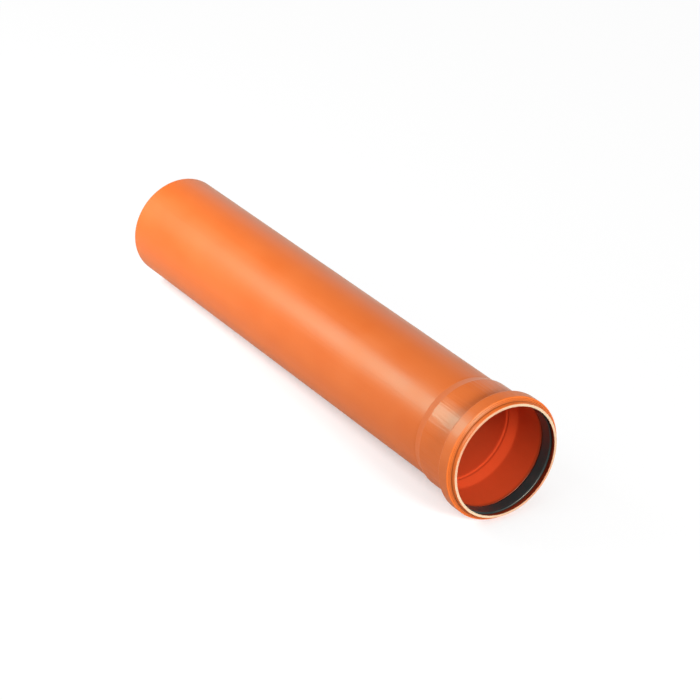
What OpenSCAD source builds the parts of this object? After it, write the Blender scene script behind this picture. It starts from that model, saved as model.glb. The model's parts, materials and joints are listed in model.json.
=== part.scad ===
// Sewer pipe with a belled socket and a rubber lip seal.
//
// Both pieces are turned about one axis. The pipe lies on level ground on two rims: the edge of its spigot end
// and the back shoulder of the bead round its socket. Its socket end points along +X and is held up a little by
// the bead. The origin is on the ground, under the middle of the bounding box.

/* [Pipe] */
// Outside diameter of the pipe and its spigot
pipe_d = 110; // [80:1:200]
// Wall of the straight pipe
wall = 2.2; // [1.8:0.1:3.2]
// Overall length, from the spigot end to the socket mouth
total_l = 600; // [250:10:1200]
// Bevel left where the sawn spigot end was deburred
end_break = 0.4; // [0.2:0.1:0.8]

/* [Socket] */
// Depth of the socket, from its mouth to the start of its inner taper
socket_depth = 56.5; // [50:0.5:90]
// Radial gap between a spigot and the barrel of the socket
spigot_gap = 0.3; // [0.2:0.05:0.5]
// Wall of the barrel, drawn thinner as the pipe was belled
barrel_wall = 1.9; // [1.5:0.1:3]

/* [Taper between the socket and the pipe] */
// Length of the inner taper, from the barrel to the ring at its foot
inner_taper_l = 11.4; // [8:0.1:20]
// Radius where the barrel turns into the inner taper
inner_taper_r = 16; // [2:0.5:20]
// Width of the narrow flat at the foot of the inner taper
ring_l = 2.4; // [1:0.1:4]
// Height of the step from that flat down to the pipe's bore
ring_step = 0.4; // [0.2:0.1:0.8]
// Length of that step
ring_slope_l = 1.8; // [0.8:0.1:3]
// Length of the outer taper
outer_taper_l = 10; // [6:0.1:20]
// How much farther from the mouth the taper starts outside than inside
outer_taper_lag = 2.7; // [0:0.1:5]
// Radius at both ends of the outer taper
outer_taper_r = 1.5; // [0.5:0.5:10]

/* [Lip] */
// Length of the lip inside, from the mouth to the edge of the seal groove
lip_l = 6.2; // [4.5:0.1:8]
// Radial gap between a spigot and the mouth
lip_gap = 1.1; // [0.6:0.1:1.6]
// How far the lip widens behind the mouth, so that its inner edge stands proud
lip_undercut = 1.4; // [0.5:0.1:1.6]
// Length over which it widens
lip_undercut_l = 1.2; // [0.6:0.1:2]
// Wall of the lip, left thick at the mouth
lip_wall = 2.9; // [2.5:0.1:3.4]
// Radius on the outer edge of the lip
lip_edge_r = 1; // [0.2:0.1:1.2]

/* [Seal groove and bead] */
// Width of the floor of the groove
groove_floor_w = 10.2; // [9:0.1:16]
// Depth of the groove below the barrel's bore
groove_depth = 6.1; // [5:0.1:8]
// Wall of the bead over the groove
bead_wall = 2; // [1.5:0.1:3]
// Axial thickness of the bead's two sloping sides
bead_side_wall = 2.2; // [1.8:0.1:3]
// Angle between the bead's front side and the axis
bead_front_angle = 66; // [50:1:75]
// Angle between the bead's back side and the axis
bead_back_angle = 78; // [60:1:85]
// Radius of the bead's back shoulder
bead_back_r = 1.6; // [0.8:0.1:2.4]
// Radius of the bead's front shoulder
bead_front_r = 0.7; // [0.4:0.1:1.6]

/* [Seal ring] */
// Gap between the seal and the walls of its groove
seal_gap = 0.2; // [0.1:0.05:0.3]
// Radial gap left between the seal's lip and a spigot that has bent it back
seal_lip_gap = 0.2; // [0.15:0.05:0.3]
// Thickness of the seal's lip
seal_lip_t = 1.1; // [0.8:0.1:1.6]
// Thickness of the seal's body, radially, behind the lip
seal_body_t = 3; // [2:0.1:4]
// Radius of the seal's rounded nose, just inside the mouth
seal_nose_r = 1.2; // [0.6:0.1:2]
// Axial gap between the tip of the seal's lip and the back of the groove
seal_tip_gap = 1.6; // [0.8:0.1:3]

/* [Hidden] */
$fn = 96;

PIPE_COLOUR = "#d3713f";
SEAL_COLOUR = "#26282b";

// Straight line steps in each rounded corner of an outline
CORNER_STEPS = 6;
// Radii where the bead's back meets the barrel, where its front meets the lip, in the groove, and on the seal
FOOT_R = 0.6;
CREASE_R = 0.2;
GROOVE_CORNER_R = 1;
SEAL_CORNER_R = 0.5;
// Radius on the corners of the ring at the foot of the inner taper
RING_R = 0.4;
// How far the seal's nose stands in past the mouth
NOSE_RISE = 0.1;

// Radii about the axis
pipe_r = pipe_d / 2;
bore_r = pipe_r - wall;
barrel_bore_r = pipe_r + spigot_gap;
barrel_r = barrel_bore_r + barrel_wall;
mouth_r = pipe_r + lip_gap;
lip_bore_r = mouth_r + lip_undercut;
lip_r = mouth_r + lip_wall;
groove_r = barrel_bore_r + groove_depth;
bead_r = groove_r + bead_wall;
seal_r = groove_r - seal_gap;
seal_lip_r = pipe_r + seal_lip_gap;

// Stations along the axis, from the spigot end
mouth_x = total_l;
socket_stop_x = mouth_x - socket_depth;
inner_foot_x = socket_stop_x - inner_taper_l;
outer_top_x = socket_stop_x - outer_taper_lag;
outer_foot_x = outer_top_x - outer_taper_l;

// The groove's sides are cones: where each of them is at a given radius
function groove_front_x(r) = mouth_x - lip_l - (r - lip_bore_r) / tan(bead_front_angle);
function groove_back_x(r) =
    groove_front_x(groove_r) - groove_floor_w - (groove_r - r) / tan(bead_back_angle);
function bead_front_x(r) = groove_front_x(r) + bead_side_wall;
function bead_back_x(r) = groove_back_x(r) - bead_side_wall;

// How it lies: tangent to the ground at the spigot's edge and round the bead's back shoulder
shoulder_x = bead_back_x(bead_r) + bead_back_r * tan(bead_back_angle / 2);
shoulder_rise = bead_r - bead_back_r - pipe_r;
shoulder_run = shoulder_x - end_break;
lie_angle = atan2(shoulder_rise, shoulder_run) + asin(bead_back_r / norm([shoulder_rise, shoulder_run]));
axis_z = pipe_r * cos(lie_angle) - end_break * sin(lie_angle);
low_x = -(pipe_r - end_break) * sin(lie_angle);
high_x = (mouth_x - lip_edge_r) * cos(lie_angle) + (lip_r - lip_edge_r) * sin(lie_angle) + lip_edge_r;

function unit(v) = v / norm(v);

// The points that round the corner b, between its neighbours a and c, with radius r
function corner(a, b, c, r) =
    let (u = unit(a - b), v = unit(c - b), half = acos(u * v) / 2, sweep = 180 - 2 * half)
    let (centre = b + unit(u + v) * r / sin(half))
    let (from = b + u * r / tan(half) - centre, to = b + v * r / tan(half) - centre)
    [for (i = [0:CORNER_STEPS]) let (s = sweep * i / CORNER_STEPS)
        centre + (from * sin(sweep - s) + to * sin(s)) / sin(sweep)];

// An outline from corners [station, radius, corner radius], as [radius, station] points
function outline(corners) =
    let (n = len(corners), at = [for (c = corners) [c[1], c[0]]])
    [for (i = [0:n - 1])
        each corners[i][2] == 0 ? [at[i]] : corner(at[(i + n - 1) % n], at[i], at[(i + 1) % n], corners[i][2])];

// Turns an outline about the axis and lays the result on the ground
module turned(corners) {
    translate([-(low_x + high_x) / 2, 0, axis_z])
        rotate([0, 90 - lie_angle, 0])
            rotate_extrude()
                polygon(outline(corners));
}

outside = [
    [0, pipe_r - end_break, 0],
    [end_break, pipe_r, 0],
    [outer_foot_x, pipe_r, outer_taper_r],
    [outer_top_x, barrel_r, outer_taper_r],
    [bead_back_x(barrel_r), barrel_r, FOOT_R],
    [bead_back_x(bead_r), bead_r, bead_back_r],
    [bead_front_x(bead_r), bead_r, bead_front_r],
    [bead_front_x(lip_r), lip_r, CREASE_R],
    [mouth_x, lip_r, lip_edge_r],
];

inside = [
    [mouth_x, mouth_r, 0],
    [mouth_x - lip_undercut_l, lip_bore_r, 0],
    [groove_front_x(lip_bore_r), lip_bore_r, 0],
    [groove_front_x(groove_r), groove_r, GROOVE_CORNER_R],
    [groove_back_x(groove_r), groove_r, GROOVE_CORNER_R],
    [groove_back_x(barrel_bore_r), barrel_bore_r, FOOT_R],
    [socket_stop_x, barrel_bore_r, inner_taper_r],
    [inner_foot_x, bore_r + ring_step, RING_R],
    [inner_foot_x - ring_l, bore_r + ring_step, RING_R],
    [inner_foot_x - ring_l - ring_slope_l, bore_r, RING_R],
    [0, bore_r, 0],
];

// The pipe, with its socket, seal groove and bead formed from the same wall
module pipe() {
    color(PIPE_COLOUR)
        turned(concat(outside, inside));
}

// The lip seal: a body that fills the groove, and a lip that slopes in from its nose to the spigot
module seal_ring() {
    front_x = groove_front_x(seal_r) - seal_gap / sin(bead_front_angle);
    nose_r = mouth_r - NOSE_RISE;
    nose_x = groove_front_x(nose_r) - seal_gap / sin(bead_front_angle);
    back_x = groove_back_x(seal_r) + seal_gap / sin(bead_back_angle);
    heel_r = seal_r - seal_body_t;
    heel_x = groove_back_x(heel_r) + seal_gap / sin(bead_back_angle);
    tip_x = groove_back_x(seal_lip_r) + seal_tip_gap;
    notch_x = (nose_x + tip_x) / 2;
    color(SEAL_COLOUR)
        turned([
            [front_x, seal_r, GROOVE_CORNER_R],
            [nose_x, nose_r, seal_nose_r],
            [tip_x + seal_lip_t, seal_lip_r, SEAL_CORNER_R],
            [tip_x, seal_lip_r, 0],
            [tip_x, seal_lip_r + seal_lip_t, 0],
            [notch_x, heel_r, 0],
            [heel_x, heel_r, SEAL_CORNER_R],
            [back_x, seal_r, GROOVE_CORNER_R],
        ]);
}

pipe();
seal_ring();
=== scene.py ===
"""Sewer pipe: an orange-brown plastic pipe with a belled socket, and the black lip seal in its groove.

Both pieces are turned from one outline each by a Geometry Nodes tree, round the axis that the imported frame
gives. Lengths are in metres. An outline is a list of corners (station, radius, corner radius), where a
station is a distance along the pipe's axis from its spigot end.
"""
import json
import math

import bpy
from bpy.props import FloatProperty, FloatVectorProperty, IntProperty, PointerProperty
from mathutils import Matrix, Vector


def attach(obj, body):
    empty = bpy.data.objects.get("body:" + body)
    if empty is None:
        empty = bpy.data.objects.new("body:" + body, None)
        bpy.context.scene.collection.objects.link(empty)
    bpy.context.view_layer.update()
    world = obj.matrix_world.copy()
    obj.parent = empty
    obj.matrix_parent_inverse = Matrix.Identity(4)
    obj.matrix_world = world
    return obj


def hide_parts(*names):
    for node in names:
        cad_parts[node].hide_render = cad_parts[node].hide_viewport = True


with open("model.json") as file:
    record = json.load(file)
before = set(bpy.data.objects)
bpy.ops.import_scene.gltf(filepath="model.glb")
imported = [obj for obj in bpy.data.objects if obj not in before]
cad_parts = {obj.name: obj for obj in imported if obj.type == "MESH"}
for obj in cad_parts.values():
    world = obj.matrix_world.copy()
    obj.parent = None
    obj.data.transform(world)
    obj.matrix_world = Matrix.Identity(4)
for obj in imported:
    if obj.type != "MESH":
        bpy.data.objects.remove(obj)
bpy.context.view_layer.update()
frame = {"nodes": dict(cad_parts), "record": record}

bl_info = {
    "name": "Sewer pipe",
    "version": (1, 0, 0),
    "blender": (4, 5, 0),
    "location": "View3D > Sidebar > Sewer pipe",
    "description": "Builds a socketed plastic sewer pipe with its lip seal, and the stage it lies on",
    "category": "Object",
}

# --- What the frame gives ---------------------------------------------------------------------------------

MOUNTS = {mount["name"]: mount for mount in frame["record"]["mounts"]}
MM = 0.001
AXIS = Vector(MOUNTS["socket"]["axis"]).normalized()
LIE_ANGLE = math.atan2(AXIS.z, AXIS.x)


def stations(name):
    """How far along the axis each point of a CAD node lies from the middle of the flow bore's mouth."""
    start = Vector(MOUNTS["flow_bore"]["pos_m"])
    return [(vertex.co - start).dot(AXIS) for vertex in frame["nodes"][name].data.vertices]


PIPE_STATIONS = stations("pipe")
PIPE_LENGTH = max(PIPE_STATIONS) - min(PIPE_STATIONS)
SPIGOT_END = Vector(MOUNTS["flow_bore"]["pos_m"]) + AXIS * min(PIPE_STATIONS)
SPIGOT_RADIUS, FLOW_BORE_RADIUS, SOCKET_RADIUS = (
    MOUNTS[name]["dims"]["r_mm"] * MM for name in ("spigot", "flow_bore", "socket"))


def length_property(name, description, default, low=0.0, high=2.0):
    """A length in metres that a user can set."""
    return FloatProperty(name=name, description=description, default=default, min=low, max=high,
                         subtype="DISTANCE", unit="LENGTH", precision=5)


def colour_property(name, description, default):
    """A linear colour that a user can set."""
    return FloatVectorProperty(name=name, description=description, default=default, min=0.0, max=1.0,
                               size=3, subtype="COLOR")


# --- Settings ---------------------------------------------------------------------------------------------


class PipeSizes(bpy.types.PropertyGroup):
    """Sizes of the pipe's wall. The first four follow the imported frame."""

    pipe_radius: length_property("Pipe radius", "Outside radius of the pipe and its spigot", SPIGOT_RADIUS)
    bore_radius: length_property("Bore radius", "Inside radius of the straight pipe", FLOW_BORE_RADIUS)
    barrel_bore_radius: length_property(
        "Barrel bore radius", "Inside radius of the socket's barrel", SOCKET_RADIUS)
    total_length: length_property("Length", "Overall length along the axis", PIPE_LENGTH)
    end_break: length_property("End break", "Bevel on the sawn spigot end", 0.0004)
    barrel_wall: length_property("Barrel wall", "Wall of the socket's barrel", 0.0019)
    barrel_length: length_property("Barrel length", "From the mouth to the outer taper", 0.0592)
    outer_taper: length_property("Outer taper", "Length of the taper outside", 0.010)
    outer_taper_round: length_property("Outer taper round", "Radius at the ends of the outer taper", 0.0015)
    neck_depth: length_property("Neck depth", "How far the pipe draws in before the taper", 0.0001)
    neck_length: length_property("Neck length", "Length of that drawn-in ring", 0.003)
    socket_depth: length_property("Socket depth", "From the mouth to the inner taper", 0.0565)
    inner_taper: length_property("Inner taper", "Length of the taper inside, as far as its ring", 0.0114)
    inner_taper_round: length_property(
        "Inner taper round", "Radius where the barrel turns into the taper", 0.016)
    ring_length: length_property(
        "Ring length", "Width of the narrow flat at the foot of the inner taper", 0.0024)
    ring_step: length_property("Ring step", "Height of the step from that flat to the bore", 0.0004)
    ring_slope: length_property("Ring slope", "Length of that step", 0.0018)
    ring_round: length_property("Ring round", "Radius on the corners of that flat", 0.0004)
    lip_length: length_property("Lip length", "From the mouth to the edge of the seal groove, inside", 0.0062)
    lip_gap: length_property("Lip gap", "Radial gap between a spigot and the mouth", 0.0011)
    lip_undercut: length_property("Lip undercut", "How far the lip widens behind the mouth", 0.0014)
    lip_undercut_length: length_property("Lip undercut length", "Length over which it widens", 0.0012)
    lip_wall: length_property("Lip wall", "Wall of the lip at the mouth", 0.0029)
    lip_edge_round: length_property("Lip edge round", "Radius on the outer edge of the lip", 0.001)
    groove_floor: length_property("Groove floor", "Width of the floor of the seal groove", 0.0102)
    groove_depth: length_property("Groove depth", "Depth of the groove below the barrel's bore", 0.0061)
    bead_wall: length_property("Bead wall", "Wall of the bead over the groove", 0.002)
    bead_side_wall: length_property("Bead side wall", "Axial thickness of the bead's sloping sides", 0.0022)
    bead_back_round: length_property("Bead back round", "Radius of the bead's back shoulder", 0.0016)
    bead_front_round: length_property("Bead front round", "Radius of the bead's front shoulder", 0.0007)
    foot_round: length_property("Foot round", "Radius behind the bead and at the groove's edges", 0.0006)
    crease_round: length_property("Crease round", "Radius where the bead's front meets the lip", 0.0002)
    groove_round: length_property("Groove round", "Radius in the corners of the groove", 0.001)
    front_angle: FloatProperty(name="Front angle", description="Slope of the bead's front side",
                               default=math.radians(66), subtype="ANGLE", unit="ROTATION")
    back_angle: FloatProperty(name="Back angle", description="Slope of the bead's back side",
                              default=math.radians(78), subtype="ANGLE", unit="ROTATION")
    sides: IntProperty(name="Sides", description="Faces round the pipe", default=240, min=24, max=720)


class SealSizes(bpy.types.PropertyGroup):
    """Sizes of the lip seal."""

    gap: length_property("Gap", "Between the seal and the walls of its groove", 0.0002)
    lip_gap: length_property("Lip gap", "Between the bent lip and a spigot", 0.0002)
    lip_thickness: length_property("Lip thickness", "Thickness of the seal's lip", 0.0011)
    body_thickness: length_property("Body thickness", "Radial thickness of the body behind the lip", 0.003)
    nose_rise: length_property("Nose rise", "How far the seal's nose stands in past the mouth", 0.0001)
    nose_round: length_property("Nose round", "Radius of the seal's nose", 0.0012)
    tip_gap: length_property("Tip gap", "From the tip of the seal's lip to the back of the groove", 0.0016)
    corner_round: length_property("Corner round", "Radius on the seal's other corners", 0.0005)


class Finishes(bpy.types.PropertyGroup):
    """Colours of the pipe's plastic and of the rubber."""

    skin: colour_property("Skin", "Orange-brown plastic outside", (0.560, 0.103, 0.009))
    skin_light: colour_property("Skin, light", "Paler drawn lines outside", (0.600, 0.127, 0.018))
    # The bore is the same plastic as the skin; its own redder colour stands in for the light inside the pipe,
    # painted light
    bore: colour_property("Bore", "Orange-brown plastic inside", (0.72, 0.080, 0.020))
    bore_light: colour_property("Bore, light", "Paler drawn lines inside", (0.74, 0.086, 0.024))
    sawn: colour_property("Sawn end", "Plastic bruised pale by the saw", (0.61, 0.48, 0.315))
    rubber: colour_property("Rubber", "Black moulded rubber", (0.013, 0.031, 0.032))


class StageSettings(bpy.types.PropertyGroup):
    """Camera, lamps and floor."""

    camera_azimuth: FloatProperty(name="Azimuth", description="Camera's bearing round the pipe",
                                  default=math.radians(56.600), subtype="ANGLE", unit="ROTATION")
    camera_elevation: FloatProperty(name="Elevation", description="Camera's height above the horizon",
                                    default=math.radians(29.317), subtype="ANGLE", unit="ROTATION")
    camera_distance: length_property("Camera distance", "From the camera to its target", 2.8319, 0.1, 20)
    camera_along: length_property("Target along", "How far the target lies towards the socket", 0.03636)
    camera_height: length_property("Target height", "Height of the camera's target", 0.05868)
    camera_lens: FloatProperty(name="Lens", description="Focal length in millimetres", default=146.10)
    floor_size: length_property("Floor size", "Side of the square floor", 12.0, 1, 50)
    room: FloatProperty(name="Room", description="Strength of the light from all round", default=0.05)
    side_power: FloatProperty(name="Side lamp power", description="Power of the lamp beside the pipe",
                              default=14.6, unit="POWER")
    mouth_power: FloatProperty(name="Mouth lamp power", description="Power of the lamp before the mouth",
                               default=36.0, unit="POWER")
    front_power: FloatProperty(name="Front lamp power", description="Power of the fill lamp before the pipe",
                               default=4.5, unit="POWER")
    top_power: FloatProperty(name="Top lamp power", description="Power of the fill lamp overhead",
                             default=1.9, unit="POWER")


# --- Outlines ---------------------------------------------------------------------------------------------

# Straight steps in each rounded corner, and how far outside it the flat is held
CORNER_STEPS = 6
HOLD = 0.0004


def rounded(before, at, after, radius):
    """The points that round the corner at, between its neighbours, with a point just outside each end of the
    round that keeps the flat beside it looking flat."""
    if radius == 0:
        return [at]
    towards, onwards = (before - at).normalized(), (after - at).normalized()
    half = towards.angle(onwards) / 2
    reach = radius / math.tan(half)
    centre = at + (towards + onwards).normalized() * radius / math.sin(half)
    first, last = at + towards * reach - centre, at + onwards * reach - centre
    sweep = math.pi - 2 * half
    arc = [centre + (first * math.sin(sweep - turn) + last * math.sin(turn)) / math.sin(sweep)
           for turn in (sweep * step / CORNER_STEPS for step in range(CORNER_STEPS + 1))]
    room = [(edge.length - reach) / 3 for edge in (before - at, after - at)]
    return [at + towards * (reach + min(HOLD, room[0]))] + arc + [at + onwards * (reach + min(HOLD, room[1]))]


def outline(corners):
    """The closed outline through corners (station, radius, corner radius), as (station, radius) points."""
    at = [Vector((station, radius)) for station, radius, _ in corners]
    count = len(corners)
    return [point for index, (_, _, round_) in enumerate(corners)
            for point in rounded(at[index - 1], at[index], at[(index + 1) % count], round_)]


class Groove:
    """Radii of the socket, and where the groove's and the bead's sloping sides are at a given radius."""

    def __init__(self, pipe):
        self.pipe = pipe
        self.mouth = pipe.pipe_radius + pipe.lip_gap
        self.edge = self.mouth + pipe.lip_undercut
        self.lip = self.mouth + pipe.lip_wall
        self.floor = pipe.barrel_bore_radius + pipe.groove_depth
        self.bead = self.floor + pipe.bead_wall

    def front(self, radius):
        """Station of the groove's front side."""
        pipe = self.pipe
        return pipe.total_length - pipe.lip_length - (radius - self.edge) / math.tan(pipe.front_angle)

    def back(self, radius):
        """Station of the groove's back side."""
        pipe = self.pipe
        return self.front(self.floor) - pipe.groove_floor - (self.floor - radius) / math.tan(pipe.back_angle)

    def bead_front(self, radius):
        """Station of the bead's front side."""
        return self.front(radius) + self.pipe.bead_side_wall

    def bead_back(self, radius):
        """Station of the bead's back side."""
        return self.back(radius) - self.pipe.bead_side_wall


# The fine turned lines on the bead's front side, and how far each lies below the crown
TOOL_LINE_WIDTH, TOOL_LINE_DEPTH = 0.0005, 0.00015
TOOL_LINES = (0.0018, 0.0031)


def tool_lines(groove):
    """Corners of the fine turned lines on the bead's front side."""
    corners = []
    for drop in TOOL_LINES:
        radius = groove.bead - drop
        corners += [
            (groove.bead_front(radius + TOOL_LINE_WIDTH / 2), radius + TOOL_LINE_WIDTH / 2, 0),
            (groove.bead_front(radius) - TOOL_LINE_DEPTH, radius, 0),
            (groove.bead_front(radius - TOOL_LINE_WIDTH / 2), radius - TOOL_LINE_WIDTH / 2, 0),
        ]
    return corners


def wall_corners(pipe):
    """Corners of the pipe's wall: along its outside to the mouth, and back along its inside."""
    groove = Groove(pipe)
    mouth = pipe.total_length
    barrel = pipe.barrel_bore_radius + pipe.barrel_wall
    foot = mouth - pipe.barrel_length - pipe.outer_taper
    stop = mouth - pipe.socket_depth
    land = stop - pipe.inner_taper
    land_radius = pipe.bore_radius + pipe.ring_step
    outside = [
        (0, pipe.pipe_radius - pipe.end_break, 0),
        (pipe.end_break, pipe.pipe_radius, 0),
        (foot - pipe.neck_length, pipe.pipe_radius, pipe.outer_taper_round),
        (foot, pipe.pipe_radius - pipe.neck_depth, pipe.outer_taper_round),
        (mouth - pipe.barrel_length, barrel, pipe.outer_taper_round),
        (groove.bead_back(barrel), barrel, pipe.foot_round),
        (groove.bead_back(groove.bead), groove.bead, pipe.bead_back_round),
        (groove.bead_front(groove.bead), groove.bead, pipe.bead_front_round),
        *tool_lines(groove),
        (groove.bead_front(groove.lip), groove.lip, pipe.crease_round),
        (mouth, groove.lip, pipe.lip_edge_round),
    ]
    inside = [
        (mouth, groove.mouth, 0),
        (mouth - pipe.lip_undercut_length, groove.edge, 0),
        (groove.front(groove.edge), groove.edge, 0),
        (groove.front(groove.floor), groove.floor, pipe.groove_round),
        (groove.back(groove.floor), groove.floor, pipe.groove_round),
        (groove.back(pipe.barrel_bore_radius), pipe.barrel_bore_radius, pipe.foot_round),
        (stop, pipe.barrel_bore_radius, pipe.inner_taper_round),
        (land, land_radius, pipe.ring_round),
        (land - pipe.ring_length, land_radius, pipe.ring_round),
        (land - pipe.ring_length - pipe.ring_slope, pipe.bore_radius, pipe.ring_round),
        (0, pipe.bore_radius, 0),
    ]
    return outside + inside


def seal_corners(pipe, seal):
    """Corners of the lip seal: a body that fills the groove, and a lip that slopes in from its front."""
    groove = Groove(pipe)
    front_gap = seal.gap / math.sin(pipe.front_angle)
    back_gap = seal.gap / math.sin(pipe.back_angle)
    outer = groove.floor - seal.gap
    nose = groove.mouth - seal.nose_rise
    nose_at = groove.front(nose) - front_gap
    heel = outer - seal.body_thickness
    lip = pipe.pipe_radius + seal.lip_gap
    lip_at = groove.back(lip) + seal.tip_gap
    return [
        (groove.front(outer) - front_gap, outer, pipe.groove_round),
        (nose_at, nose, seal.nose_round),
        (lip_at + seal.lip_thickness, lip, seal.corner_round),
        (lip_at, lip, 0),
        (lip_at, lip + seal.lip_thickness, 0),
        ((nose_at + lip_at) / 2, heel, 0),
        (groove.back(heel) + back_gap, heel, seal.corner_round),
        (groove.back(outer) + back_gap, outer, pipe.groove_round),
    ]


# --- Turning an outline with Geometry Nodes ---------------------------------------------------------------


def add_node(tree, kind, inputs=None, **settings):
    """Adds a node to a tree, and fills its inputs with values or with other nodes' outputs."""
    node = tree.nodes.new(kind)
    for name, value in settings.items():
        setattr(node, name, value)
    for key, value in (inputs or {}).items():
        if isinstance(value, bpy.types.NodeSocket):
            tree.links.new(value, node.inputs[key])
        else:
            node.inputs[key].default_value = value
    return node


def maths(tree, operation, *values):
    """A Math node's result."""
    return add_node(tree, "ShaderNodeMath", dict(enumerate(values)), operation=operation).outputs[0]


def dot(tree, first, second):
    """The dot product of two vectors."""
    node = add_node(tree, "ShaderNodeVectorMath", {0: first, 1: second}, operation="DOT_PRODUCT")
    return node.outputs["Value"]


def add_sockets(tree, inputs=(), outputs=()):
    """Gives a node group its named inputs and outputs, each as (name, kind) or (name, kind, default)."""
    for in_out, sockets in (("INPUT", inputs), ("OUTPUT", outputs)):
        for name, kind, *default in sockets:
            socket = tree.interface.new_socket(name=name, in_out=in_out, socket_type=f"NodeSocket{kind}")
            if default:
                socket.default_value = default[0]


# How far from an end of the pipe a face still counts as sawn
SAWN_REACH = 0.00015


def turning_tree():
    """A tree that turns a flat outline about the pipe's axis and gives its sawn faces their own material.
    The outline comes as edges, with its radii along X and its stations along -Y."""
    tree = bpy.data.node_groups.new("Turned outline", "GeometryNodeTree")
    add_sockets(tree, [
        ("Outline", "Geometry"), ("Sides", "Int", 240), ("Hub radius", "Float", SPIGOT_RADIUS),
        ("Lie angle", "Float", LIE_ANGLE), ("Start", "Vector"), ("Length", "Float", PIPE_LENGTH),
        ("Skin", "Material"), ("Bore", "Material"), ("Sawn", "Material"),
    ], [("Piece", "Geometry")])
    given = tree.nodes.new("NodeGroupInput").outputs

    hub = add_node(tree, "GeometryNodeCurvePrimitiveCircle",
                   {"Resolution": given["Sides"], "Radius": given["Hub radius"]})
    drop = add_node(tree, "ShaderNodeCombineXYZ", {"X": maths(tree, "MULTIPLY", given["Hub radius"], -1.0)})
    section = add_node(tree, "GeometryNodeTransform",
                       {"Geometry": given["Outline"], "Translation": drop.outputs[0]})
    section_curve = add_node(tree, "GeometryNodeMeshToCurve", {"Mesh": section.outputs[0]})
    turned = add_node(tree, "GeometryNodeCurveToMesh",
                      {"Curve": hub.outputs[0], "Profile Curve": section_curve.outputs[0]})

    position = add_node(tree, "GeometryNodeInputPosition").outputs[0]
    normal = add_node(tree, "GeometryNodeInputNormal").outputs[0]
    station = add_node(tree, "ShaderNodeSeparateXYZ", {0: position}).outputs["Z"]
    ends = [maths(tree, "COMPARE", station, end, SAWN_REACH) for end in (given["Length"], 0.0)]
    at_end = maths(tree, "MAXIMUM", *ends)
    away = add_node(tree, "ShaderNodeVectorMath", {0: position, 1: (1, 1, 0)}, operation="MULTIPLY")
    inside = maths(tree, "LESS_THAN", dot(tree, away.outputs[0], normal), 0.0)
    zones = turned.outputs[0]
    for name, value in (("sawn", at_end), ("bore", inside)):
        stored = {"Geometry": zones, "Name": name, "Value": value}
        zones = add_node(tree, "GeometryNodeStoreNamedAttribute", stored,
                         data_type="FLOAT", domain="FACE").outputs[0]
    lie = add_node(tree, "ShaderNodeCombineXYZ",
                   {"Y": maths(tree, "SUBTRACT", math.pi / 2, given["Lie angle"])})
    laid = add_node(tree, "GeometryNodeTransform",
                    {"Geometry": zones, "Rotation": lie.outputs[0], "Translation": given["Start"]})
    smooth = add_node(tree, "GeometryNodeSetShadeSmooth", {"Geometry": laid.outputs[0]})
    realized = add_node(tree, "GeometryNodeRealizeInstances", {"Geometry": smooth.outputs[0]})
    finished = add_node(tree, "GeometryNodeSetMaterial",
                        {"Geometry": realized.outputs[0], "Material": given["Skin"]})
    for zone, material in (("bore", "Bore"), ("sawn", "Sawn")):
        chosen = add_node(tree, "GeometryNodeInputNamedAttribute", {"Name": zone}, data_type="FLOAT")
        finished = add_node(tree, "GeometryNodeSetMaterial", {
            "Geometry": finished.outputs[0], "Selection": chosen.outputs[0], "Material": given[material],
        })
    add_node(tree, "NodeGroupOutput", {"Piece": finished.outputs[0]})
    return tree


def group_of(name, build):
    """The node group of that name, built once."""
    return bpy.data.node_groups.get(name) or build()


# Edges that turn by more than this are shaded as sharp
SHARP_ANGLE = math.radians(28)


def turned_piece(name, corners, pipe, skin, bore, sawn):
    """A plain closed mesh, turned from corners by the Geometry Nodes tree and laid on the ground."""
    points = outline(corners)[::-1]
    edges = [(index, (index + 1) % len(points)) for index in range(len(points))]
    wire = bpy.data.meshes.new(name + "_outline")
    wire.from_pydata([(radius, -station, 0) for station, radius in points], edges, [])
    piece = bpy.data.objects.new(name, wire)
    bpy.context.scene.collection.objects.link(piece)

    tree = group_of("Turned outline", turning_tree)
    modifier = piece.modifiers.new("Turned", "NODES")
    modifier.node_group = tree
    sockets = {item.name: item.identifier for item in tree.interface.items_tree if item.in_out == "INPUT"}
    values = {
        "Sides": pipe.sides, "Hub radius": pipe.pipe_radius, "Lie angle": LIE_ANGLE, "Start": SPIGOT_END,
        "Length": pipe.total_length, "Skin": skin, "Bore": bore, "Sawn": sawn,
    }
    for key, value in values.items():
        modifier[sockets[key]] = value
    depsgraph = bpy.context.evaluated_depsgraph_get()
    mesh = bpy.data.meshes.new_from_object(piece.evaluated_get(depsgraph), depsgraph=depsgraph)
    piece.modifiers.remove(modifier)
    piece.data = mesh
    bpy.data.meshes.remove(wire)
    mesh.name = name
    for zone in ("sawn", "bore"):
        mesh.attributes.remove(mesh.attributes[zone])
    if signed_volume(mesh) < 0:
        raise RuntimeError(f"{name} is turned inside out")
    mesh.set_sharp_from_angle(angle=SHARP_ANGLE)
    return piece


def signed_volume(mesh):
    """The volume of a closed mesh, below zero where its faces point inwards."""
    mesh.calc_loop_triangles()
    at = [vertex.co for vertex in mesh.vertices]
    return sum(at[a].dot(at[b].cross(at[c])) for a, b, c in (t.vertices for t in mesh.loop_triangles)) / 6


# --- Shader groups ----------------------------------------------------------------------------------------


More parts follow.
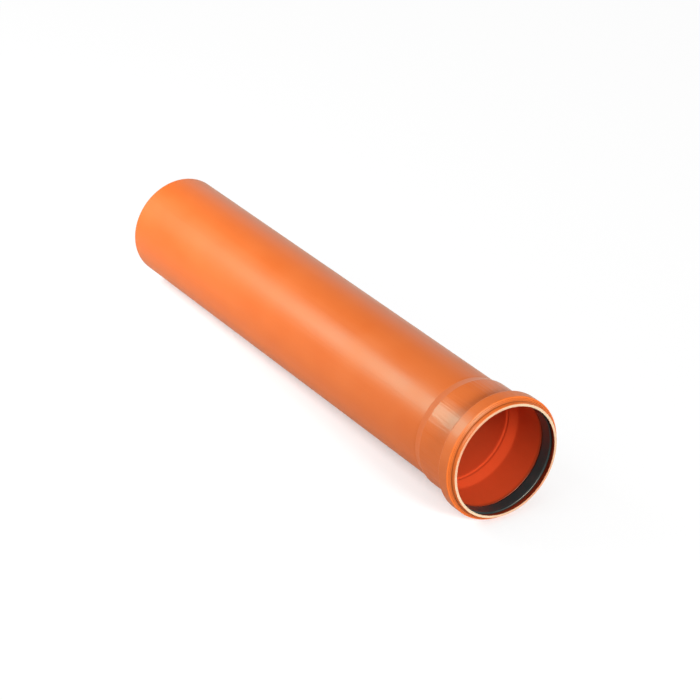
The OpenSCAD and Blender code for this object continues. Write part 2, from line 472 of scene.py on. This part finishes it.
def pipe_coordinates():
    """Turns Object coordinates into the distance along the pipe's axis and the direction away from it."""
    tree = bpy.data.node_groups.new("Pipe coordinates", "ShaderNodeTree")
    add_sockets(tree, [("Object", "Vector")], [("Station", "Float"), ("Direction", "Vector")])
    given = tree.nodes.new("NodeGroupInput").outputs
    laid = add_node(tree, "ShaderNodeMapping",
                    {"Vector": given["Object"], "Location": SPIGOT_END, "Rotation": (0, -LIE_ANGLE, 0)},
                    vector_type="TEXTURE")
    parts = add_node(tree, "ShaderNodeSeparateXYZ", {0: laid.outputs[0]})
    across = add_node(tree, "ShaderNodeCombineXYZ", {"Y": parts.outputs["Y"], "Z": parts.outputs["Z"]})
    direction = add_node(tree, "ShaderNodeVectorMath", {0: across.outputs[0]}, operation="NORMALIZE")
    add_node(tree, "NodeGroupOutput", {"Station": parts.outputs["X"], "Direction": direction.outputs[0]})
    return tree


def drawn_lines():
    """Long lines along the pipe, as a die leaves them, as a value about one half."""
    tree = bpy.data.node_groups.new("Drawn lines", "ShaderNodeTree")
    add_sockets(tree, [
        ("Station", "Float"), ("Direction", "Vector"), ("Line width", "Float", 0.002),
        ("Line length", "Float", 0.3), ("Detail", "Float", 2.0),
    ], [("Value", "Float")])
    given = tree.nodes.new("NodeGroupInput").outputs
    turns = maths(tree, "DIVIDE", SPIGOT_RADIUS, given["Line width"])
    round_ = add_node(tree, "ShaderNodeVectorMath",
                      {0: given["Direction"], "Scale": turns}, operation="SCALE")
    along = add_node(tree, "ShaderNodeCombineXYZ",
                     {"X": maths(tree, "DIVIDE", given["Station"], given["Line length"])})
    at = add_node(tree, "ShaderNodeVectorMath", {0: round_.outputs[0], 1: along.outputs[0]}, operation="ADD")
    noise = add_node(tree, "ShaderNodeTexNoise",
                     {"Vector": at.outputs[0], "Scale": 1.0, "Detail": given["Detail"], "Roughness": 0.55})
    add_node(tree, "NodeGroupOutput", {"Value": noise.outputs[0]})
    return tree


def clouding():
    """Soft uneven patches, as a value about one half."""
    tree = bpy.data.node_groups.new("Clouding", "ShaderNodeTree")
    add_sockets(tree, [("Object", "Vector"), ("Patch size", "Float", 0.05), ("Detail", "Float", 2.0)],
                [("Value", "Float")])
    given = tree.nodes.new("NodeGroupInput").outputs
    noise = add_node(tree, "ShaderNodeTexNoise",
                     {"Vector": given["Object"], "Scale": maths(tree, "DIVIDE", 1.0, given["Patch size"]),
                      "Detail": given["Detail"], "Roughness": 0.5})
    add_node(tree, "NodeGroupOutput", {"Value": noise.outputs[0]})
    return tree


def place_group(tree, name, build, inputs):
    """Places a shader group in a material's tree, with its values and links."""
    return add_node(tree, "ShaderNodeGroup", inputs, node_tree=group_of(name, build)).outputs


# --- Materials --------------------------------------------------------------------------------------------


def new_material(name):
    """An empty material with its output, and its tree."""
    material = bpy.data.materials.new(name)
    material.use_nodes = True
    material.node_tree.nodes.clear()
    return material, material.node_tree


def finish_material(tree, shader):
    """Sends a shader to the material's output."""
    add_node(tree, "ShaderNodeOutputMaterial", {"Surface": shader.outputs[0]})


def mixed_colour(tree, factor, first, second):
    """A colour between two, by a factor."""
    return add_node(tree, "ShaderNodeMix", {0: factor, 6: (*first, 1), 7: (*second, 1)},
                    data_type="RGBA").outputs[2]


def ranged(tree, value, low, high, from_low=0.0, from_high=1.0):
    """A value taken from one range to another."""
    return add_node(tree, "ShaderNodeMapRange", {
        "Value": value, "From Min": from_low, "From Max": from_high, "To Min": low, "To Max": high,
    }).outputs[0]


def by_depth(tree, station, mouth, stops):
    """A value that changes with the depth behind the mouth, through stops (depth, value)."""
    reach = stops[-1][0]
    ramp = add_node(tree, "ShaderNodeValToRGB", {0: ranged(tree, station, 0.0, 1.0, mouth, mouth - reach)})
    marks = ramp.color_ramp.elements
    while len(marks) < len(stops):
        marks.new(0.5)
    for mark, (depth, value) in zip(marks, stops):
        mark.position = depth / reach
        mark.color = (value, value, value, 1)
    return ramp.outputs["Color"]


# Where most of a noise's values lie
NOISE_LOW, NOISE_HIGH = 0.3, 0.7


def noise_to(tree, noise, low, high, noise_low=NOISE_LOW):
    """A noise taken to the range from low to high. A higher noise_low leaves more of the surface at low."""
    return ranged(tree, noise, low, high, noise_low, NOISE_HIGH)


def blended(tree, main, minor, minor_share):
    """Two values added by their shares."""
    return maths(tree, "ADD", maths(tree, "MULTIPLY", main, 1 - minor_share),
                 maths(tree, "MULTIPLY", minor, minor_share))


# Width, length and detail of the skin's lines, and the share of the fine ones in its tone and relief
BROAD_LINES = (0.006, 0.5, 1.0)
FINE_LINES = (0.0013, 0.25, 2.0)
BELLING_LINES = (0.0024, 0.06, 2.0)
FINE_SHARE = 0.3
CLOUD_SIZE = 0.06
# Roughness from the fine lines, what the clouds change it by, and what one unit of belling lowers it by
SKIN_ROUGHNESS = (0.37, 0.47)
CLOUD_ROUGHNESS = 0.05
BELLING_POLISH = 0.025
# What the crease behind the lip adds to the roughness, and the painted shade at which all of that is added
CREASE_DULLING, DULL_SHADE = 0.55, 0.5
# How far one unit of a bump's height stands up, and how strongly a bump turns the light
SKIN_RELIEF, FINE_RELIEF = 0.0002, 0.0001
BUMP_STRENGTH = 0.5
SKIN_IOR = 1.43
SKIN_TINT = (0.15, 1.0, 0.8, 1)
SHEEN, SHEEN_ROUGHNESS = 0.07, 0.35
SHEEN_TINT = (1.0, 0.93, 0.7, 1)


# The belling left no streaks inside
BORE_STREAKS = (0, 0), (0.1, 0)


def skin_streaks(pipe):
    """How strong the belling's streaks are outside: some on the bead, most on the barrel, none past it."""
    barrel = pipe.barrel_length
    return (0, 0.5), (0.02, 1.5), (0.035, 3.2), (barrel, 3.2), (barrel + 0.006, 0), (0.1, 0)


def skin_painted_shade(pipe):
    """Painted light and shade outside, by depth behind the mouth: painted light on the lip and on the bead's
    front, with a line on the bead's front, and painted shade in the crease behind the lip."""
    groove = Groove(pipe)
    crease, crown = (pipe.total_length - groove.bead_front(radius) for radius in (groove.lip, groove.bead))
    line = (crease + crown) / 2
    # Painted light on the lip and on the bead's front, and painted shade in the crease between them
    lip = (0, 1.0), (0.001, 1.15), (crease - 0.0012, 1.2)
    painted_crease_shade = (crease - 0.0006, 0.9), (crease, 0.42), (crease + 0.0005, 1.05)
    bead_front = (line - 0.0003, 1.15), (line, 0.93), (line + 0.0003, 1.18), (crown, 1.15)
    return lip + painted_crease_shade + bead_front + ((crown + 0.001, 1.0), (0.1, 1.0))


def bore_painted_shade(pipe):
    """Painted light and shade inside, by depth behind the mouth: painted shade in the lip, in the seal's
    groove and where the barrel meets the seal, painted light on the taper and on its ring, and painted shade
    deep in the bore."""
    groove = Groove(pipe)
    back = pipe.total_length - groove.back(pipe.barrel_bore_radius)
    stop = pipe.socket_depth
    land = stop + pipe.inner_taper
    ring = land + pipe.ring_length
    foot = ring + pipe.ring_slope
    # Painted shade in the lip, the groove and the barrel's edge by the seal, painted light on the taper and
    # its ring, and painted shade deep in the bore
    lip = (0, 0.4), (pipe.lip_undercut_length, 0.45), (0.4 * pipe.lip_length, 0.85)
    seal_groove = (0.55 * pipe.lip_length, 0.4), (0.7 * pipe.lip_length, 0.2), (back - 0.0005, 0.2)
    barrel = (back + 0.001, 0.65), (back + 0.0035, 1.0), (stop - 0.003, 1.0)
    taper = (stop + 0.001, 1.13), (land - 0.001, 1.13), (land + 0.0008, 0.97)
    deep = (foot + 0.0025, 1.0), (0.15, 0.75), (0.3, 0.6)
    return lip + seal_groove + barrel + taper + ((ring, 1.25), (foot, 1.2)) + deep


def skin_material(name, base, light, mouth, painted_shade, streaks, sheen, dulling):
    """Glossy extruded plastic with the die's long lines in its colour, gloss and surface. Painted light and
    shade in its colour and the strength of the streaks that the belling left follow the depth behind the
    mouth, and dulling is what its darkest painted shade adds to its roughness."""
    material, tree = new_material(name)
    place = add_node(tree, "ShaderNodeTexCoord").outputs["Object"]
    at = place_group(tree, "Pipe coordinates", pipe_coordinates, {"Object": place})

    def lines(width, length, detail):
        return place_group(tree, "Drawn lines", drawn_lines, {
            "Station": at["Station"], "Direction": at["Direction"],
            "Line width": width, "Line length": length, "Detail": detail,
        })["Value"]

    broad, fine, streak = lines(*BROAD_LINES), lines(*FINE_LINES), lines(*BELLING_LINES)
    cloud = place_group(tree, "Clouding", clouding, {"Object": place, "Patch size": CLOUD_SIZE})["Value"]
    tone = noise_to(tree, blended(tree, cloud, fine, FINE_SHARE), 0.0, 1.0)
    plain = mixed_colour(tree, tone, base, light)
    # Painted light and shade by depth, multiplied into the colour
    painted_shading = by_depth(tree, at["Station"], mouth, painted_shade)
    colour = add_node(tree, "ShaderNodeVectorMath", {0: plain, "Scale": painted_shading}, operation="SCALE")
    belled = by_depth(tree, at["Station"], mouth, streaks)
    drawn = maths(tree, "ADD", noise_to(tree, fine, *SKIN_ROUGHNESS),
                  noise_to(tree, cloud, -CLOUD_ROUGHNESS, CLOUD_ROUGHNESS))
    polished = maths(tree, "MULTIPLY_ADD", belled, -BELLING_POLISH, drawn)
    roughness = maths(tree, "ADD", polished, ranged(tree, painted_shading, dulling, 0.0, DULL_SHADE, 1.0))
    height = maths(tree, "MULTIPLY_ADD", streak, belled, blended(tree, broad, fine, FINE_SHARE))
    bump = add_node(tree, "ShaderNodeBump",
                    {"Strength": BUMP_STRENGTH, "Distance": SKIN_RELIEF, "Height": height})
    shader = add_node(tree, "ShaderNodeBsdfPrincipled", {
        "Base Color": colour.outputs[0], "Roughness": roughness, "Normal": bump.outputs[0],
        "IOR": SKIN_IOR, "Specular Tint": SKIN_TINT,
        "Sheen Weight": sheen, "Sheen Roughness": SHEEN_ROUGHNESS, "Sheen Tint": SHEEN_TINT,
    })
    finish_material(tree, shader)
    return material


# Towards which sides the sawn face is palest, and how much of the skin's colour shows between them
PALE_SIDES = Vector((0, 0.7, 0.7))
BARE_SHARE = 0.6
# Size and stretch of the saw's marks, the bare share that they add, and the value where they start to add it
SAW_MARK_SIZE = 0.002
SAW_MARK_STRETCH = (1.0, 0.2, 3.0)
SAW_MARK_SHARE = (-0.1, 0.25)
SAW_MARK_FROM = 0.35
SAWN_ROUGHNESS = (0.5, 0.7)
MARK_DETAIL = 3.0


def sawn_material(colours):
    """The pale bruised face that the saw leaves."""
    material, tree = new_material("Sawn plastic")
    place = add_node(tree, "ShaderNodeTexCoord").outputs["Object"]
    stretched = add_node(tree, "ShaderNodeMapping", {"Vector": place, "Scale": SAW_MARK_STRETCH})
    marks = place_group(tree, "Clouding", clouding, {
        "Object": stretched.outputs[0], "Patch size": SAW_MARK_SIZE, "Detail": MARK_DETAIL,
    })["Value"]
    at = place_group(tree, "Pipe coordinates", pipe_coordinates, {"Object": place})
    pale = maths(tree, "ABSOLUTE", dot(tree, at["Direction"], PALE_SIDES))
    clean = maths(tree, "MULTIPLY_ADD", pale, -BARE_SHARE, BARE_SHARE)
    bare = maths(tree, "ADD", clean, noise_to(tree, marks, *SAW_MARK_SHARE, SAW_MARK_FROM))
    bump = add_node(tree, "ShaderNodeBump",
                    {"Strength": BUMP_STRENGTH, "Distance": FINE_RELIEF, "Height": marks})
    shader = add_node(tree, "ShaderNodeBsdfPrincipled", {
        "Base Color": mixed_colour(tree, bare, colours.sawn, colours.skin_light),
        "Roughness": noise_to(tree, marks, *SAWN_ROUGHNESS), "Normal": bump.outputs[0],
    })
    finish_material(tree, shader)
    return material


GRAIN_SIZE, GRAIN_DETAIL, GRAIN_STRENGTH = 0.0015, 3.0, 0.6
# Size of the dust's patches, the value where they start, and their share where they are thickest
DUST_SIZE, DUST_FROM, DUST_SHARE = 0.02, 0.4, 0.3
DUST_COLOUR = (0.055, 0.06, 0.058)
RUBBER_ROUGHNESS = (0.30, 0.44)
RUBBER_IOR = 1.62
RUBBER_TINT = (1, 0.8, 0.62, 1)


def rubber_material(colours):
    """Black moulded rubber with a fine grain and a trace of dust."""
    material, tree = new_material("Seal rubber")
    place = add_node(tree, "ShaderNodeTexCoord").outputs["Object"]
    grain = place_group(tree, "Clouding", clouding,
                        {"Object": place, "Patch size": GRAIN_SIZE, "Detail": GRAIN_DETAIL})["Value"]
    cloud = place_group(tree, "Clouding", clouding, {"Object": place, "Patch size": DUST_SIZE})["Value"]
    dust = noise_to(tree, cloud, 0.0, DUST_SHARE, DUST_FROM)
    bump = add_node(tree, "ShaderNodeBump",
                    {"Strength": GRAIN_STRENGTH, "Distance": FINE_RELIEF, "Height": grain})
    shader = add_node(tree, "ShaderNodeBsdfPrincipled", {
        "Base Color": mixed_colour(tree, dust, colours.rubber, DUST_COLOUR),
        "Roughness": noise_to(tree, grain, *RUBBER_ROUGHNESS), "Normal": bump.outputs[0],
        "IOR": RUBBER_IOR, "Specular Tint": RUBBER_TINT,
    })
    finish_material(tree, shader)
    return material


# --- Stage ------------------------------------------------------------------------------------------------


def looks(tree):
    """One where the camera looks, and one where a reflection or a refraction does. Both are zero for the
    light that things get."""
    path = add_node(tree, "ShaderNodeLightPath").outputs
    return path["Is Camera Ray"], maths(tree, "MAXIMUM", path["Is Glossy Ray"], path["Is Transmission Ray"])


# Which way the backdrop lies, the height at which it starts to fade and is gone, as sines, and how far round
# it fades, as cosines from its middle
BACKDROP_SIDE = Vector((-0.835, 0.550, 0.0))
BACKDROP_TOP, BACKDROP_GONE = math.sin(math.radians(17)), math.sin(math.radians(32))
BACKDROP_ROUND = (-0.3, 0.4)


def build_world(stage):
    """A white backdrop behind the pipe, which fades upwards and round to the dim room before it."""
    world = bpy.data.worlds.new("Backdrop and room")
    bpy.context.scene.world = world
    world.use_nodes = True
    tree = world.node_tree
    tree.nodes.clear()
    direction = add_node(tree, "ShaderNodeTexCoord").outputs["Generated"]
    height = add_node(tree, "ShaderNodeSeparateXYZ", {0: direction}).outputs["Z"]
    low = ranged(tree, height, 1.0, 0.0, BACKDROP_TOP, BACKDROP_GONE)
    behind = ranged(tree, dot(tree, direction, BACKDROP_SIDE), 0.0, 1.0, *BACKDROP_ROUND)
    share = maths(tree, "MULTIPLY", low, behind)
    strength = ranged(tree, share, stage.room, 1.0)
    light = add_node(tree, "ShaderNodeBackground", {"Color": (1, 1, 1, 1), "Strength": strength})
    add_node(tree, "ShaderNodeOutputWorld", {"Surface": light.outputs[0]})


# White light's share of what the camera and a mirror see of the floor
FLOOR_WHITE, FLOOR_MIRRORED = 0.95, 0.25
# How near the pipe the floor starts to darken, the rays that find that, and how softly the camera sees it
CONTACT_REACH, CONTACT_SAMPLES, CONTACT_SOFTNESS = 0.12, 8, 0.6
# The floor's own tone, how much light it throws back beside the pipe and ahead of its mouth, and from where
# to where along the pipe that changes
FLOOR_TONE = 0.97
FLOOR_BOUNCE, FLOOR_BOUNCE_AHEAD = 0.80, 0.05
AHEAD_FROM, AHEAD_TO = 0.28, 0.6
# How much of the floor's brightness a mirror shows before the pipe, and from where to where across the floor
# that grows to all of it behind the pipe
MIRRORED_BEFORE = 0.32
BEHIND_FROM, BEHIND_TO = 0.0, 0.15


def build_floor(stage):
    """A floor that looks white, keeps the pipe's soft shadow, and throws a little light back."""
    half = stage.floor_size / 2
    corners = [(-half, -half, 0), (half, -half, 0), (half, half, 0), (-half, half, 0)]
    mesh = bpy.data.meshes.new("floor")
    mesh.from_pydata(corners, [], [(0, 1, 2, 3)])
    floor = bpy.data.objects.new("floor", mesh)
    bpy.context.scene.collection.objects.link(floor)
    material, tree = new_material("White floor")
    camera, mirrored = looks(tree)
    place = add_node(tree, "ShaderNodeTexCoord").outputs["Object"]
    parts = add_node(tree, "ShaderNodeSeparateXYZ", {0: place}).outputs
    bounce = ranged(tree, parts["X"], FLOOR_BOUNCE, FLOOR_BOUNCE_AHEAD, AHEAD_FROM, AHEAD_TO)
    shown = ranged(tree, parts["Y"], MIRRORED_BEFORE, 1.0, BEHIND_FROM, BEHIND_TO)
    dimmed = ranged(tree, mirrored, 1.0, shown)
    tone = maths(tree, "MULTIPLY", ranged(tree, camera, bounce, FLOOR_TONE), dimmed)
    colour = mixed_colour(tree, tone, (0, 0, 0), (1, 1, 1))
    lit = add_node(tree, "ShaderNodeBsdfDiffuse", {"Color": colour})
    white = add_node(tree, "ShaderNodeEmission", {"Color": (1, 1, 1, 1), "Strength": 1.0})
    # Ambient occlusion dims the white near the pipe: a painted contact shadow, beside the real shadow in the
    # lit part
    open_ = add_node(tree, "ShaderNodeAmbientOcclusion",
                     {"Distance": CONTACT_REACH}, samples=CONTACT_SAMPLES).outputs["AO"]
    lifted = maths(tree, "POWER", open_, ranged(tree, mirrored, CONTACT_SOFTNESS, 1.0))
    white_share = maths(tree, "ADD", maths(tree, "MULTIPLY", camera, FLOOR_WHITE),
                        maths(tree, "MULTIPLY", mirrored, FLOOR_MIRRORED))
    share = maths(tree, "MULTIPLY", lifted, maths(tree, "MULTIPLY", white_share, dimmed))
    finish_material(tree, add_node(tree, "ShaderNodeMixShader",
                                   {0: share, 1: lit.outputs[0], 2: white.outputs[0]}))
    mesh.materials.append(material)


def soft_lamp(name, power, length, width, at, target):
    """A rectangular lamp whose long side lies along the pipe as nearly as its aim lets it."""
    light = bpy.data.lights.new(name, "AREA")
    light.shape = "RECTANGLE"
    light.size = length
    light.size_y = width
    light.energy = power
    lamp = bpy.data.objects.new(name, light)
    lamp.visible_camera = False
    bpy.context.scene.collection.objects.link(lamp)
    shine = (target - at).normalized()
    along = (AXIS - shine * AXIS.dot(shine)).normalized()
    lamp.matrix_world = Matrix((along, along.cross(shine), -shine)).transposed().to_4x4()
    lamp.location = at


# Each lamp's name, the setting that holds its power, its length and width, its place and its target
LAMPS = (
    ("side_lamp", "side_power", 0.7, 0.5, (-0.57, -0.61, 0.73), (-0.57, 0, 0.055)),
    ("mouth_lamp", "mouth_power", 0.45, 0.45, (1.75, -0.05, 0.71), (0.3, 0, 0.06)),
    ("front_lamp", "front_power", 0.8, 0.8, (0.2, -1.2, 0.5), (0, 0, 0.055)),
    ("top_lamp", "top_power", 1.0, 0.6, (-0.2, 0, 1.1), (-0.2, 0, 0.1)),
)


def build_lamps(stage):
    """A soft lamp beside the spigot half, which mirrors in the pipe, one before the mouth, and two to fill
    in."""
    for name, power, length, width, at, target in LAMPS:
        soft_lamp(name, getattr(stage, power), length, width, Vector(at), Vector(target))


def build_camera(stage):
    """The camera, by its bearing, height and distance from its target."""
    data = bpy.data.cameras.new("camera")
    data.lens = stage.camera_lens
    camera = bpy.data.objects.new("camera", data)
    bpy.context.scene.collection.objects.link(camera)
    azimuth, elevation = stage.camera_azimuth, stage.camera_elevation
    back = Vector((math.sin(azimuth) * math.cos(elevation), -math.cos(azimuth) * math.cos(elevation),
                   math.sin(elevation)))
    target = Vector((stage.camera_along, 0, stage.camera_height))
    at = target + back * stage.camera_distance
    camera.location = at
    camera.rotation_mode = "QUATERNION"
    camera.rotation_quaternion = (target - at).to_track_quat("-Z", "Y")
    bpy.context.scene.camera = camera


# --- Operators and panel ----------------------------------------------------------------------------------


class SEWERPIPE_OT_wall(bpy.types.Operator):
    """Build the pipe: one wall with its spigot, taper, barrel, bead and lip"""

    bl_idname = "sewer_pipe.wall"
    bl_label = "Pipe wall"

    def execute(self, context):
        """Turns the wall's outline and gives it its skin, its bore and its sawn ends."""
        scene = context.scene
        finishes, pipe = scene.pipe_finishes, scene.pipe_sizes
        mouth = pipe.total_length
        skin = skin_material("Pipe skin", finishes.skin, finishes.skin_light, mouth,
                             skin_painted_shade(pipe), skin_streaks(pipe), SHEEN, CREASE_DULLING)
        bore = skin_material("Pipe bore", finishes.bore, finishes.bore_light, mouth,
                             bore_painted_shade(pipe), BORE_STREAKS, 0.0, 0.0)
        sawn = sawn_material(finishes)
        piece = turned_piece("pipe_wall", wall_corners(pipe), pipe, skin, bore, sawn)
        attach(piece, "root")
        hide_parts("pipe")
        return {"FINISHED"}


class SEWERPIPE_OT_seal(bpy.types.Operator):
    """Build the black lip seal that sits in the pipe's groove"""

    bl_idname = "sewer_pipe.seal"
    bl_label = "Lip seal"

    def execute(self, context):
        """Turns the seal's outline and gives it its rubber."""
        scene = context.scene
        rubber = rubber_material(scene.pipe_finishes)
        corners = seal_corners(scene.pipe_sizes, scene.seal_sizes)
        piece = turned_piece("lip_seal", corners, scene.pipe_sizes, rubber, rubber, rubber)
        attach(piece, "root")
        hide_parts("seal_ring")
        return {"FINISHED"}


class SEWERPIPE_OT_stage(bpy.types.Operator):
    """Build the white backdrop, the floor, the lamps and the camera"""

    bl_idname = "sewer_pipe.stage"
    bl_label = "Stage"

    def execute(self, context):
        """Builds the stage from its settings."""
        stage = context.scene.stage_settings
        context.scene.view_settings.view_transform = "Standard"
        build_world(stage)
        build_floor(stage)
        build_lamps(stage)
        build_camera(stage)
        return {"FINISHED"}


class SEWERPIPE_PT_panel(bpy.types.Panel):
    """The sewer pipe's settings and what builds its pieces"""

    bl_idname = "SEWERPIPE_PT_panel"
    bl_label = "Sewer pipe"
    bl_space_type = "VIEW_3D"
    bl_region_type = "UI"
    bl_category = "Sewer pipe"

    def draw(self, context):
        """Lists each operator under the settings that it reads."""
        for settings, operators in PANEL_ROWS:
            box = self.layout.box()
            group = getattr(context.scene, settings)
            for name in group.bl_rna.properties.keys():
                if name not in ("rna_type", "name"):
                    box.prop(group, name)
            for operator in operators:
                box.operator(operator.bl_idname)


SETTINGS = {
    "pipe_sizes": PipeSizes,
    "seal_sizes": SealSizes,
    "pipe_finishes": Finishes,
    "stage_settings": StageSettings,
}
PANEL_ROWS = (
    ("pipe_sizes", (SEWERPIPE_OT_wall,)),
    ("seal_sizes", (SEWERPIPE_OT_seal,)),
    ("pipe_finishes", ()),
    ("stage_settings", (SEWERPIPE_OT_stage,)),
)
CLASSES = (*SETTINGS.values(), SEWERPIPE_OT_wall, SEWERPIPE_OT_seal, SEWERPIPE_OT_stage, SEWERPIPE_PT_panel)


def register():
    """Registers the classes and hangs the settings on the scene."""
    for each in CLASSES:
        bpy.utils.register_class(each)
    for name, group in SETTINGS.items():
        setattr(bpy.types.Scene, name, PointerProperty(type=group))


def unregister():
    """Takes the settings and the classes away again."""
    for name in SETTINGS:
        delattr(bpy.types.Scene, name)
    for each in reversed(CLASSES):
        bpy.utils.unregister_class(each)


def main():
    """Builds the pieces and the stage."""
    register()
    bpy.ops.sewer_pipe.wall()
    bpy.ops.sewer_pipe.seal()
    bpy.ops.sewer_pipe.stage()
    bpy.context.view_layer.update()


if __name__ == "__main__":
    main()
